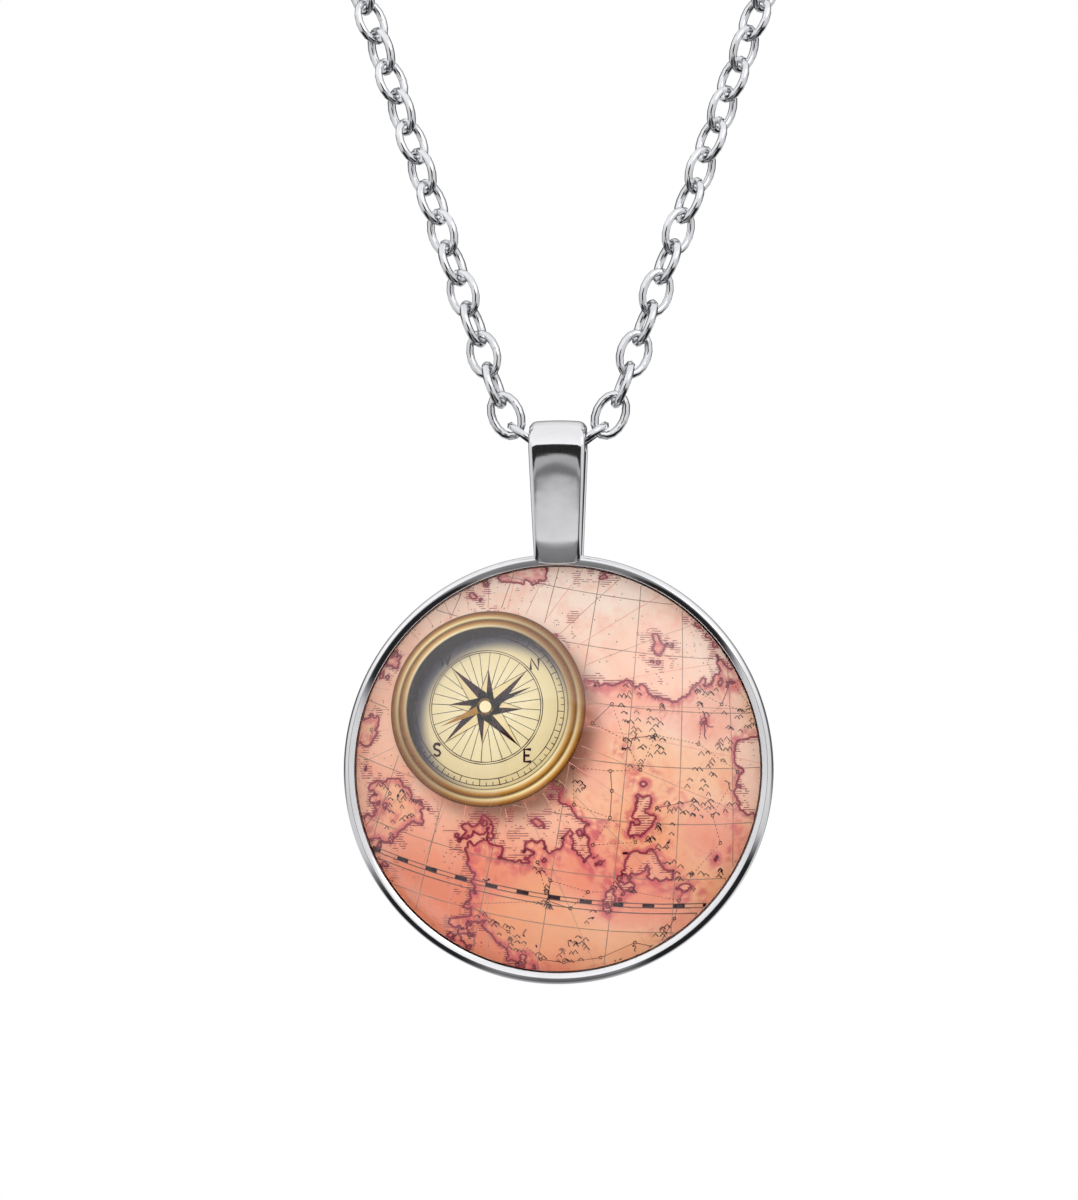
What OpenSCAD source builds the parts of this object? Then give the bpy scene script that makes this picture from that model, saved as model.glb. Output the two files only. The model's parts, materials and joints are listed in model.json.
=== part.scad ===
// Picture pendant on a cable chain, held up as it is worn.
// The clasp lies at the nape, at the origin. +Z is up and the picture faces -Y.

/* [Glass and picture] */
// Diameter of the domed glass
glass_d = 25; // [18:0.5:35]
// Height of the glass, from its flat back to the top of its dome
glass_h = 5; // [3.5:0.1:7]
// Height of the straight edge of the glass
glass_edge_h = 1.2; // [0.8:0.1:2]
// Thickness of the printed picture
paper_t = 0.15; // [0.1:0.05:0.4]
// Gap between pieces that lie in each other
seat_gap = 0.05; // [0.03:0.01:0.1]

/* [Tray] */
// Width of the rim, seen from the front
rim_w = 0.7; // [0.5:0.05:1.5]
// Depth of the tray, from its back to the crest of the rim
tray_depth = 2.4; // [2:0.1:4]
// Thickness of the back plate
plate_t = 0.8; // [0.5:0.1:1.2]

/* [Bail] */
// Height of the bail above the rim
bail_h = 8.3; // [7:0.1:14]
// Width of the bail across its loop
bail_w = 3.5; // [2.6:0.05:3.6]
// Width of the bail at its foot
bail_foot_w = 2.9; // [2:0.05:4]
// Thickness of the bail's strap
bail_t = 0.45; // [0.4:0.05:1]
// Radius of the bail's corners, seen from the front
bail_corner_r = 0.6; // [0.2:0.05:1]
// Chamfer of the bail's inner edges, beside the links
bail_edge = 0.2; // [0.1:0.05:0.3]
// How far the bail's foot stands in front of the rim
bail_proud = 0.3; // [0.1:0.05:0.5]
// Gap between the links and the bail that swings round them
swing_gap = 0.13; // [0.12:0.01:0.3]

/* [Chain] */
// Length of the closed chain with its clasp
chain_length = 500; // [400:5:700]
// Outer length of a link
link_l = 3.25; // [3:0.05:4]
// Outer width of a link
link_w = 2.3; // [2:0.05:2.9]
// Diameter of the wire
wire_d = 0.5; // [0.4:0.02:0.56]
// Play between two links
link_play = 0.16; // [0.12:0.01:0.25]
// Lean of the two strands from the vertical, seen from the front
strand_lean = 19; // [14:1:24]
// How far the strands lean back, for each millimetre that they rise
strand_back = 0.2; // [0:0.05:0.4]

/* [Clasp] */
// Distance between the wires of the two links that the clasp joins
clasp_l = 10; // [8:0.5:16]
// Wire of the clasp's eye
eye_wire_d = 0.6; // [0.4:0.05:1]
// Wire of the clasp's claw
claw_wire_d = 1; // [0.8:0.05:1.4]
// Radius of the claw, to the middle of its wire
claw_r = 1.6; // [1.3:0.05:2.4]
// Diameter of the clasp's stem where it meets the claw
stem_d = 1.4; // [1.2:0.1:2]
// Gap between the clasp's rings and the links in them
clasp_gap = 0.2; // [0.15:0.05:0.3]

/* [Hidden] */
$fn = 48;
round_fn = 120;
dome_fn = 480;

// The half route of the chain, from the nape to the top of the front strand
ROUTE = [[0, 0, 0], [25, 0, 0], [50, -14, -8], [57, -46, -20], [46, -72, -42]];
route_steps = 10;
// The second link beside the bail: its lean, and how far it goes back for each millimetre of rise
lead_lean = 25;
lead_back = 0.1;
// The first link leans at least this much
least_lean = 42;
// Twist of the links round the chain, by their share of the way from the bail
TWISTS = [[0, 0], [0.01, 8], [0.08, 35], [0.85, 35], [0.97, 0]];

function unit(v) = v / norm(v);
function rise(angle, back) = unit([sin(angle), back * cos(angle), cos(angle)]);
function across(v, along) = unit(v - (v * along) * along);

// One link, measured to the middle of its wire: half its length, half its width and half its straight side
arm = (link_l - wire_d) / 2;
arm_w = (link_w - wire_d) / 2;
straight = arm - arm_w;

// From a link's middle to where the next link's wire passes through it, and from one link to the next
hook = arm - wire_d - link_play;
pitch = arm + hook;

// The links beside the bail, from the middle of the link inside it
// The first leans so far that the round end of the second one clears the bail's flank
end_reach = arm_w + wire_d / 2;
end_x = bail_w / 2 + swing_gap + end_reach;
clear_lean = asin((end_x - hook - (hook - straight) * sin(lead_lean)) / (2 * arm));
first_lean = max(clear_lean, least_lean);
lead_ways = [rise(first_lean, 0), rise(lead_lean, lead_back)];
lead_1 = [hook, 0, 0] + arm * lead_ways[0];
lead_2 = lead_1 + arm * lead_ways[0] + hook * lead_ways[1];
lead_end = lead_2 + pitch / 2 * lead_ways[1];
strand = -rise(strand_lean, strand_back);

// The route as a smooth curve, at the size that it was chosen at
last = len(ROUTE) - 1;
function middle(i) = (ROUTE[i] + ROUTE[i + 1]) / 2;
function piece_end(i) =
    i < last ? middle(i) : ROUTE[last] + norm(ROUTE[last] - middle(last - 1)) * strand;
function bend(a, b, c, t) = (1 - t) * (1 - t) * a + 2 * t * (1 - t) * b + t * t * c;
curve = [
    ROUTE[0],
    middle(0),
    for (i = [1:last], k = [1:route_steps])
        bend(middle(i - 1), ROUTE[i], piece_end(i), k / route_steps)
];
runs = [for (i = 0, run = 0; i < len(curve); i = i + 1, run = run + run_step(i)) run];
function run_step(i) = i < len(curve) ? norm(curve[i] - curve[i - 1]) : 0;
curve_run = runs[len(curve) - 1];
function on_curve(run, axis) = lookup(run, [for (i = [0:len(curve) - 1]) [runs[i], curve[i][axis]]]);

// Its scale lets a whole, odd number of links reach from the clasp to the bail
clasp_reach = (clasp_l + wire_d + link_play) / 2;
free_run = chain_length / 2 - clasp_reach - (len(lead_ways) + 1 / 2) * pitch;
links = 2 * round((free_run / pitch - 1) / 2) + 1;
side_links = links + len(lead_ways);
route_run = clasp_reach + links * pitch;
curve_end = curve[len(curve) - 1];
route_scale = (route_run - lead_end.x / strand.x) / (curve_run - curve_end.x / strand.x);
function route(run) =
    run < route_scale * curve_run
    ? route_scale * [for (axis = [0:2]) on_curve(run / route_scale, axis)]
    : route_scale * curve_end + (run - route_scale * curve_run) * strand;
function joint(i) = route(clasp_reach + i * pitch);
hang = joint(links) - lead_end;
neck_middle = hang.y / 2;

// Sizes of the pendant, from the middle of the link that it hangs on
side_rise = (bail_w / 2 - bail_edge - hook) / tan(first_lean);
eye_r = norm([arm_w, side_rise]) + wire_d / 4 * (1 + 1 / sin(first_lean)) + swing_gap;
loop_r = eye_r + bail_t;
tray_inner_r = glass_d / 2 + 2 * seat_gap;
tray_r = tray_inner_r + rim_w;
tray_drop = tray_r + bail_h - loop_r;
foot_z = tray_inner_r - tray_drop;
strap_span = 2 * (loop_r + bail_t);
tray_back = loop_r;
plate_front = tray_back - plate_t;
paper_front = plate_front - seat_gap - paper_t;
glass_back = paper_front - seat_gap;
rim_crest = tray_back - tray_depth;
dome_h = glass_h - glass_edge_h;
dome_r = (pow(glass_d / 2, 2) + dome_h * dome_h) / (2 * dome_h);

// One link, flat in XY and long in X
module link() {
    for (turn = [0, 180]) rotate(turn) {
        translate([straight, 0, 0]) rotate_extrude(angle = 180, start = -90)
            translate([arm_w, 0]) circle(d = wire_d);
        translate([-straight, arm_w, 0]) rotate([0, 90, 0]) cylinder(d = wire_d, h = 2 * straight);
    }
}

module link_at(centre, along, normal) {
    side = cross(normal, along);
    multmatrix([for (axis = [0:2]) [along[axis], side[axis], normal[axis], centre[axis]]]) link();
}

// The nth link of the right half, counted from the bail: its middle, its way and its flat side
function link_middle(n) =
    n == 0 ? hang + lead_1
    : n == 1 ? hang + lead_2
    : (joint_of(n) + joint_of(n - 1)) / 2;
function link_way(n) = n < 2 ? -lead_ways[n] : unit(joint_of(n - 1) - joint_of(n));
function joint_of(n) = joint(side_links - 1 - n);
function link_flat(n) =
    let (
        along = link_way(n),
        outward = across(link_middle(n) - [0, neck_middle, link_middle(n).z], along),
        turn = lookup(n / side_links, TWISTS) + (n % 2 == 0 ? 90 : 0)
    )
    cos(turn) * outward - sin(turn) * cross(along, outward);
function flip(v, side) = [side * v.x, v.y, v.z];

// A half of the chain, on the right with side 1 and on the left with side -1
module half_chain(side) {
    for (n = [0:side_links - 1])
        link_at(flip(link_middle(n), side), flip(link_way(n), side), flip(link_flat(n), side));
}

module chain_right() {
    color([0.78, 0.79, 0.8]) half_chain(1);
}

module chain_left() {
    color([0.74, 0.75, 0.76]) {
        half_chain(-1);
        link_at(hang, [1, 0, 0], [0, -1, 0]);
    }
}

// The clasp: an eye on the left, a closed claw on the right and a stem between them
module clasp() {
    ring_r = (wire_d + eye_wire_d) / 2 + clasp_gap;
    ring_x = -clasp_l / 2;
    claw_x = clasp_l / 2 + (wire_d + claw_wire_d) / 2 + clasp_gap - claw_r;
    stem_start = ring_x + ring_r;
    stem_end = claw_x - claw_r;
    color([0.7, 0.71, 0.73]) rotate([90, 0, 0]) {
        translate([ring_x, 0, 0]) ring(ring_r, eye_wire_d);
        translate([claw_x, 0, 0]) ring(claw_r, claw_wire_d);
        translate([stem_start, 0, 0]) rotate([0, 90, 0])
            cylinder(h = stem_end - stem_start, d1 = eye_wire_d, d2 = stem_d);
    }
}

module ring(radius, wire) {
    rotate_extrude() translate([radius, 0]) circle(d = wire);
}

// Turns a shape that is round about Z so that its +Z side faces the front, at the tray's middle
module in_tray(depth) {
    translate(hang + [0, depth, -tray_drop]) rotate([90, 0, 0]) children();
}

module tray() {
    color([0.75, 0.76, 0.78]) {
        in_tray(tray_back) rotate_extrude($fn = round_fn) tray_profile();
        translate(hang) difference() {
            intersection() {
                rotate([90, 0, 90]) linear_extrude(bail_w, center = true) strap_side();
                rotate([90, 0, 0]) linear_extrude(strap_span, center = true) strap_front();
            }
            for (side = [-90, 90]) rotate([0, side, 0]) translate([0, 0, bail_w / 2 - bail_edge])
                cylinder(h = 2 * bail_edge, r1 = eye_r, r2 = eye_r + 2 * bail_edge, $fn = round_fn);
        }
    }
}

// Half section of the tray: radius in X, distance from its back in Y
module tray_profile() {
    bead_r = rim_w / 2;
    square([tray_inner_r + bead_r, plate_t]);
    translate([tray_inner_r, 0]) square([rim_w, tray_depth - bead_r]);
    translate([tray_inner_r + bead_r, tray_depth - bead_r]) circle(bead_r);
}

// Side view of the strap: depth in X, height in Y
module strap_side() {
    foot = [rim_crest - bail_proud, foot_z];
    touch = foot_touch(foot);
    difference() {
        union() {
            circle(loop_r, $fn = round_fn);
            polygon([loop_r * touch, foot, [tray_back, foot_z], [loop_r, 0], [0, 0]]);
        }
        circle(eye_r, $fn = round_fn);
        polygon([eye_r * touch, foot - bail_t * touch, [tray_back - bail_t, foot_z], [eye_r, 0], [0, 0]]);
    }
}

// Where the front of the strap leaves the loop, as a direction from the loop's middle
function foot_touch(foot) =
    let (turn = atan2(foot.y, foot.x) - acos(loop_r / norm(foot)))
    [cos(turn), sin(turn)];

// Front view of the strap: as wide as its loop down to the hang point, then tapered to its foot
module strap_front() {
    taper = atan2((bail_w - bail_foot_w) / 2, -foot_z);
    top = [bail_w / 2 - bail_corner_r, loop_r - bail_corner_r];
    foot_y = foot_z + bail_corner_r;
    foot = [bail_w / 2 + foot_y * tan(taper) - bail_corner_r / cos(taper), foot_y];
    flank = foot + bail_corner_r * [cos(taper), -sin(taper)];
    waist = [bail_w / 2, 0];
    right = [top + [0, bail_corner_r], top + [bail_corner_r, 0], waist, flank, foot - [0, bail_corner_r]];
    polygon([for (p = right) p, for (i = [4:-1:0]) [-right[i].x, right[i].y]]);
    for (p = [top, foot], side = [-1, 1]) translate([side * p.x, p.y]) circle(bail_corner_r);
}

module picture() {
    color([0.96, 0.72, 0.6]) in_tray(plate_front - seat_gap)
        cylinder(h = paper_t, d = glass_d, $fn = round_fn);
}

module glass() {
    color([0.9, 0.95, 1, 0.4]) in_tray(glass_back) rotate_extrude($fn = round_fn) intersection() {
        square([glass_d / 2, glass_h]);
        translate([0, glass_h - dome_r]) circle(dome_r, $fn = dome_fn);
    }
}

tray();
picture();
glass();
chain_left();
chain_right();
clasp();
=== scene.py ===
"""Picture pendant on a cable chain: its finished look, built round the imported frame."""

import json
import math
import random
from itertools import groupby
from types import SimpleNamespace

import bmesh
import bpy
import numpy as np
from mathutils import Matrix, Vector, noise

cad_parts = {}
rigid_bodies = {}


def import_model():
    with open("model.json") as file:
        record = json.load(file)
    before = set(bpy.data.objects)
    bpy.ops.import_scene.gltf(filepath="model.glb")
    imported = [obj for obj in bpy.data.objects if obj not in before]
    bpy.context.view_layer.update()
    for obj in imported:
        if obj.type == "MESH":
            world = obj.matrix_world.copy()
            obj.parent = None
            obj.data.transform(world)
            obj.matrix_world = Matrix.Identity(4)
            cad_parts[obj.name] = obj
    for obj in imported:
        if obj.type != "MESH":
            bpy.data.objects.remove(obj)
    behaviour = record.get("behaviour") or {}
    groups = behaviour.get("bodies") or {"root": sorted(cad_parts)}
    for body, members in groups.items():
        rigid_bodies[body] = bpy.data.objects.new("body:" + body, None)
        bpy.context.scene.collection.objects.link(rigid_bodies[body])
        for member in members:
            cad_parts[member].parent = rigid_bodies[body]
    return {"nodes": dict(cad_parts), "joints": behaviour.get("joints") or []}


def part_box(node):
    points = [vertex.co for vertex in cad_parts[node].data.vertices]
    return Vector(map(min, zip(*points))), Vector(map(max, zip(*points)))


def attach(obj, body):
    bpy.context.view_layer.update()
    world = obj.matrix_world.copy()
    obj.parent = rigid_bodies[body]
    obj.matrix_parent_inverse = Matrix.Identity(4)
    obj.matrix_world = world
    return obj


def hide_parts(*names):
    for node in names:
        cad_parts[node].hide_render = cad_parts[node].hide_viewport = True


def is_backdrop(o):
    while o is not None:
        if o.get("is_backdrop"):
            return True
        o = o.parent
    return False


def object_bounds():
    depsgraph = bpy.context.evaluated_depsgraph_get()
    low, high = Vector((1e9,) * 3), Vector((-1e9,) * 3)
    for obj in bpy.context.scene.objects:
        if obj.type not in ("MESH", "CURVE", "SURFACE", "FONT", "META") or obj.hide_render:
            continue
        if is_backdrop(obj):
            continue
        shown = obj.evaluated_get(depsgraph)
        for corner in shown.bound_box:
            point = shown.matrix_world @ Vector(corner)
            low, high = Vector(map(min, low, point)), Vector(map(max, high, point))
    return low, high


bl_info = {
    "name": "Picture Pendant",
    "version": (1, 0, 0),
    "blender": (4, 5, 0),
    "location": "View3D > Sidebar > Pendant",
    "description": "Builds a domed picture pendant, its strap bail and its cable chain",
    "category": "Object",
}

for start_object in list(bpy.data.objects):
    bpy.data.objects.remove(start_object)

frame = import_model()
bpy.context.view_layer.update()
CAD_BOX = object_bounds()

MM = 0.001
PICTURE_SIZE = (1078, 1200)
TAU = 2 * math.pi
TRAY_STEPS = 240
GLASS_STEPS = 200

SWING = next(joint for joint in frame["joints"] if joint["name"] == "pendant_swing")
HANG = Vector(SWING["pos_m"])


def hung_box(node):
    """Lowest and highest corner of a CAD node, measured from the point that the pendant hangs on."""
    low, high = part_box(node)
    return low - HANG, high - HANG


TRAY_LOW, TRAY_HIGH = hung_box("tray")
GLASS_LOW, GLASS_HIGH = hung_box("glass")
PAPER_LOW, PAPER_HIGH = hung_box("picture")
CLASP_LOW, CLASP_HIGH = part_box("clasp")
TRAY_RADIUS = TRAY_HIGH.x
LOOP_RADIUS = TRAY_HIGH.z
TRAY_MIDDLE = TRAY_LOW.z + TRAY_RADIUS


def length(name, description, default):
    """A length in metres, given in millimetres."""
    return bpy.props.FloatProperty(
        name=name,
        description=description,
        default=default * MM,
        min=0,
        precision=5,
        unit="LENGTH",
        subtype="DISTANCE",
    )


def colour(name, description, red, green, blue):
    """A colour, given in the 0 to 255 of a screen."""
    return bpy.props.FloatVectorProperty(
        name=name,
        description=description,
        default=screen_colour(red, green, blue),
        size=4,
        min=0,
        max=1,
        subtype="COLOR",
    )


def screen_colour(red, green, blue):
    """Linear colour with full cover, from a screen's 0 to 255."""
    shares = (value / 255 for value in (red, green, blue))
    return (*(s / 12.92 if s <= 0.04045 else ((s + 0.055) / 1.055) ** 2.4 for s in shares), 1.0)


STAIN = screen_colour(250, 146, 112)
WORN_INK = screen_colour(226, 178, 140)
PAPER_BACK = screen_colour(240, 236, 230)
WARM_LAND = screen_colour(246, 138, 116)
PALE_LAND = screen_colour(250, 188, 128)
ROSE_SHADOW = screen_colour(84, 34, 16)


class PendantSizes(bpy.types.PropertyGroup):
    """Sizes of the pendant and its chain that the frame's boxes don't give."""

    rim_width: length("Rim width", "Width of the rim, seen from the front", 0.7)
    tray_depth: length("Tray depth", "From the tray's back to the crest of its rim", 2.4)
    plate: length("Back plate", "Thickness of the tray's back plate", 0.8)
    groove: length("Groove", "How far the wall stands back under the rim", 0.05)
    recess: length("Recess", "Depth of the field that is sunk into the tray's back", 0.09)
    bail_width: length("Bail width", "Width of the bail across its loop", 3.5)
    bail_foot: length("Bail foot", "Width of the bail at its foot", 2.9)
    bail_strap: length("Strap", "Thickness of the bail's strap", 0.45)
    bail_corner: length("Bail corner", "Radius of the bail's corners, seen from the front", 0.45)
    bail_edge: length("Bail edge", "Rounding along the edges of the strap", 0.22)
    bail_proud: length("Bail proud", "How far the bail's foot stands in front of the rim", 0.3)
    bail_crown: length("Bail crown", "How far the strap's outside drops from its middle to its edges", 0.09)
    glass_edge: length("Glass edge", "Height of the straight edge of the glass", 1.2)
    glass_round: length("Glass rounding", "Rounding where the dome meets its edge", 0.25)
    link_long: length("Link length", "Outer length of a link", 3.25)
    link_wide: length("Link width", "Outer width of a link", 2.3)
    link_wire: length("Link wire", "Thickness of a link's wire", 0.52)
    eye_wire: length("Eye wire", "Wire of the clasp's eye", 0.6)
    claw_wire: length("Claw wire", "Wire of the clasp's claw", 1.0)
    stem: length("Stem", "Thickness of the clasp's stem at the claw", 1.4)
    rose_radius: length("Rose radius", "Radius of the printed compass rose", 5.8)
    coast_line: length("Coast line", "Width of the printed coast lines", 0.13)
    fine_line: length("Fine line", "Width of the finest printed lines", 0.05)


class PendantColours(bpy.types.PropertyGroup):
    """Colours of the metal, the glass and the print."""

    silver: colour("Silver", "Polished casting", 232, 232, 235)
    wire: colour("Wire", "Polished wire of the chain", 226, 227, 230)
    cream: colour("Cream", "Lightest part of the printed paper", 254, 229, 211)
    peach: colour("Peach", "Usual tone of the printed paper", 253, 197, 168)
    coral: colour("Coral", "Warmest part of the printed paper", 243, 146, 114)
    rose: colour("Rose", "Tint along the printed coasts", 214, 84, 104)
    ink: colour("Ink", "Printed lines", 58, 34, 44)
    card: colour("Card", "Face of the printed rose", 240, 224, 176)


def add_nodes(tree, kind, settings=None, **inputs):
    """A new node with its settings, and with each named input set to a value or joined to a socket."""
    made = tree.nodes.new(kind)
    for name, value in (settings or {}).items():
        setattr(made, name, value)
    set_inputs(tree, made, **inputs)
    return made


def set_inputs(tree, made, **inputs):
    """Sets each named input of a node to a value, or joins it to a socket."""
    for name, value in inputs.items():
        join(tree, value, made.inputs[name.replace("_", " ")])


def join(tree, value, socket):
    """Sets a socket to a value, or joins it to the socket that is given."""
    if isinstance(value, bpy.types.NodeSocket):
        tree.links.new(value, socket)
    else:
        socket.default_value = value


def calculate(tree, operation, first, second=0.0, third=0.0):
    """Result of a Math node."""
    made = tree.nodes.new("ShaderNodeMath")
    made.operation = operation
    for value, socket in zip((first, second, third), made.inputs):
        join(tree, value, socket)
    return made.outputs[0]


def blended(tree, share, first, second, way="MIX"):
    """Mix of two colours."""
    made = tree.nodes.new("ShaderNodeMix")
    made.data_type = "RGBA"
    made.blend_type = way
    for value, name in ((share, "Factor_Float"), (first, "A_Color"), (second, "B_Color")):
        socket = next(s for s in made.inputs if s.identifier == name)
        join(tree, value, socket)
    return next(s for s in made.outputs if s.identifier == "Result_Color")


def ramp(tree, value, *stops):
    """Grey or coloured ramp through (place, colour) stops."""
    made = add_nodes(tree, "ShaderNodeValToRGB", Fac=value)
    elements = made.color_ramp.elements
    while len(elements) < len(stops):
        elements.new(0.5)
    for element, (place, tone) in zip(elements, stops):
        element.position = place
    for element, (place, tone) in zip(elements, stops):
        element.color = tone if isinstance(tone, (tuple, list)) else (tone, tone, tone, 1)
    return made.outputs["Color"]


def speckle(tree, place, scale, detail=3.0, roughness=0.5):
    """Value of a noise with about scale spots in a millimetre."""
    return add_nodes(tree, "ShaderNodeTexNoise", Vector=place, Scale=scale / MM, Detail=detail,
                     Roughness=roughness).outputs["Fac"]


def attribute(tree, name, output="Color"):
    """One of a mesh's own attributes."""
    return add_nodes(tree, "ShaderNodeAttribute", {"attribute_name": name}).outputs[output]


def new_material(name):
    """A material with its tree, its shader and the object's own coordinates."""
    material = bpy.data.materials.new(name)
    material.use_nodes = True
    tree = material.node_tree
    place = tree.nodes.new("ShaderNodeTexCoord").outputs["Object"]
    return material, tree, tree.nodes["Principled BSDF"], place


def raise_bumps(tree, shader, height, depth):
    """Gives the shader a bump of that depth in metres."""
    bump = add_nodes(tree, "ShaderNodeBump", Strength=1.0, Distance=depth, Height=height)
    tree.links.new(bump.outputs["Normal"], shader.inputs["Normal"])


def silver_material(name, tone, wear):
    """Polished silver-tone metal with a faint haze, fine handling marks and a slight unevenness."""
    material, tree, shader, place = new_material(name)
    cloud = speckle(tree, place, 0.35, 4)
    grain = speckle(tree, place, 9.0, 2)
    dulled = tuple(0.9 * value for value in tone[:3]) + (1.0,)
    haze = calculate(tree, "MULTIPLY_ADD", cloud, 0.1 * wear, 0.03)
    set_inputs(tree, shader, Metallic=1.0,
               Base_Color=blended(tree, ramp(tree, cloud, (0.4, 0.0), (0.7, 1.0)), tone, dulled),
               Roughness=calculate(tree, "MULTIPLY_ADD", grain, 0.05 * wear, haze))
    stretched = add_nodes(tree, "ShaderNodeMapping", Vector=place, Scale=(1.0, 1.0, 0.12),
                          Rotation=(0.3, 0.5, 0.2))
    marks = speckle(tree, stretched.outputs["Vector"], 14.0, 2)
    swell = speckle(tree, place, 0.9, 1)
    height = calculate(tree, "MULTIPLY_ADD", marks, 0.02 * wear, swell)
    raise_bumps(tree, shader, height, 0.006 * MM * wear)
    return material


def roughen(material, share, amount):
    """Adds an amount, times a share from a socket, to the roughness of a material."""
    tree = material.node_tree
    socket = tree.nodes["Principled BSDF"].inputs["Roughness"]
    haze = socket.links[0].from_socket
    join(tree, calculate(tree, "MULTIPLY_ADD", share, amount, haze), socket)


def satin_back(material, depth):
    """Makes the metal behind a depth satin, as the backs of castings are."""
    tree = material.node_tree
    place = next(node for node in tree.nodes if node.bl_idname == "ShaderNodeTexCoord")
    parts = add_nodes(tree, "ShaderNodeSeparateXYZ", Vector=place.outputs["Object"])
    roughen(material, calculate(tree, "GREATER_THAN", parts.outputs["Y"], depth), 0.2)


def link_material(tone):
    """The chain's wire: a haze that differs from link to link, and a solder seam on one side."""
    material = silver_material("chain_silver", tone, 0.5)
    tree = material.node_tree
    parts = add_nodes(tree, "ShaderNodeSeparateXYZ", Vector=attribute(tree, "link_place", "Vector"))
    near = calculate(tree, "ABSOLUTE", parts.outputs["X"])
    seam = calculate(tree, "LESS_THAN", near, 0.05 * MM)
    one_side = calculate(tree, "GREATER_THAN", parts.outputs["Y"], 0.0)
    roughen(material, attribute(tree, "link_shade", "Fac"), 0.03)
    roughen(material, calculate(tree, "MULTIPLY", seam, one_side), 0.25)
    return material


def glass_material():
    """Clear glass with the faintest smears of handling."""
    material, tree, shader, place = new_material("clear_glass")
    smear = speckle(tree, place, 0.4, 5, 0.6)
    set_inputs(tree, shader, Base_Color=(1.0, 1.0, 1.0, 1.0), Transmission_Weight=1.0, IOR=1.5,
               Specular_IOR_Level=0.14, Roughness=ramp(tree, smear, (0.5, 0.0), (0.8, 0.05)))
    return material


def paper_material():
    """Printed paper: the painted wash, mottled by its fibres and by old stains."""
    material, tree, shader, place = new_material("printed_paper")
    fibre = speckle(tree, place, 7.0, 4, 0.7)
    blot = ramp(tree, speckle(tree, place, 0.55, 6, 0.62), (0.5, 0.0), (0.72, 0.5))
    aged = blended(tree, blot, attribute(tree, "wash"), STAIN)
    toned = blended(tree, 1.0, aged, ramp(tree, fibre, (0.25, 0.95), (0.7, 1.0)), "MULTIPLY")
    set_inputs(tree, shader, Base_Color=toned, Roughness=0.7, Specular_IOR_Level=0.0)
    raise_bumps(tree, shader, fibre, 0.0008 * MM)
    return material


def ink_material():
    """Printed ink: each line's own colour, a little worn away in places."""
    material, tree, shader, place = new_material("printing_ink")
    worn = ramp(tree, speckle(tree, place, 5.0, 3, 0.7), (0.5, 0.0), (0.85, 0.14))
    set_inputs(tree, shader, Base_Color=blended(tree, worn, attribute(tree, "ink"), WORN_INK),
               Roughness=0.6, Specular_IOR_Level=0.0)
    return material


def new_piece(name, vertices, faces, material, body, nodes):
    """A mesh piece that rides on a body, stands for CAD nodes and takes its finish from a slot."""
    mesh = bpy.data.meshes.new(name)
    mesh.from_pydata([tuple(v) for v in vertices], [], faces)
    mesh.validate()
    return place_mesh(name, mesh, material, body, nodes)


def place_mesh(name, mesh, material, body, nodes):
    """Puts a finished mesh in the scene as a piece."""
    mesh.shade_smooth()
    if material.name not in mesh.materials:
        mesh.materials.clear()
        mesh.materials.append(material)
    piece = bpy.data.objects.new(name, mesh)
    bpy.context.scene.collection.objects.link(piece)
    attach(piece, body)
    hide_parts(*nodes)
    return piece


def mark_sharp(mesh, angle):
    """Marks as sharp the edges that turn more than an angle, so that the rest shades smoothly."""
    shape = bmesh.new()
    shape.from_mesh(mesh)
    for edge in shape.edges:
        edge.smooth = len(edge.link_faces) == 2 and edge.calc_face_angle(0) < angle
    shape.to_mesh(mesh)
    shape.free()


def arc(middle, across, up, start, end, steps):
    """Points (across, up) of a piece of an ellipse, from one angle in degrees to another."""
    turns = (math.radians(start + (end - start) * i / steps) for i in range(steps + 1))
    return [(middle[0] + across * math.cos(t), middle[1] + up * math.sin(t)) for t in turns]


def revolved(profile, steps, middle):
    """Vertices and faces of a profile of (radius, depth) turned about the tray's axis."""
    vertices, rows = [], []
    for radius, depth in profile:
        spots = steps if radius > 0 else 1
        rows.append([len(vertices) + step % spots for step in range(steps)])
        for turn in (TAU * step / steps for step in range(spots)):
            vertices.append(middle + Vector((radius * math.cos(turn), depth, radius * math.sin(turn))))
    return vertices, band_faces(rows)


def band_faces(rows):
    """Faces between rows of vertex numbers, each a closed ring, with no corner twice in a face."""
    faces = []
    for inner, outer in zip(rows, rows[1:]):
        for step in range(len(inner)):
            onward = (step + 1) % len(inner)
            corners = (inner[step], outer[step], outer[onward], inner[onward])
            faces.append(list(dict.fromkeys(corners)))
    return faces


def even_rows(count, width):
    """Vertex numbers of a count of rows that follow each other."""
    return [list(range(row * width, (row + 1) * width)) for row in range(count)]


# Radius of the sunk field on the tray's back, as a share of the wall's.
FIELD_SHARE = 0.86

# Rim from its outside over the ridge to its inside, as curves that follow each other: (way that it faces
# at the curve's end in degrees, radius in millimetres, steps). 0 faces outwards and 90 forwards, so the
# rim is a round outer shoulder and a nearly flat inner slope. RIM_START is where the first curve starts.
RIM_START = -16
RIM_CURVES = ((62, 0.58, 9), (104, 0.06, 6), (118, 1.3, 6), (180, 0.09, 5))


def rim_profile(widest, crest):
    """Points (radius, depth) over the rim, from its groove to its inner wall."""
    way = math.radians(RIM_START)
    points = []
    spot = (widest, 0.0)
    for end, curve, steps in RIM_CURVES:
        start = way if points else 0.0
        curve *= MM
        middle = (spot[0] - curve * math.cos(start), spot[1] + curve * math.sin(start))
        points += arc(middle, curve, -curve, math.degrees(way), end, steps)
        way = math.radians(end)
        spot = points[-1]
    front = min(depth for radius, depth in points)
    return [(radius, depth - front + crest) for radius, depth in points]


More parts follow.
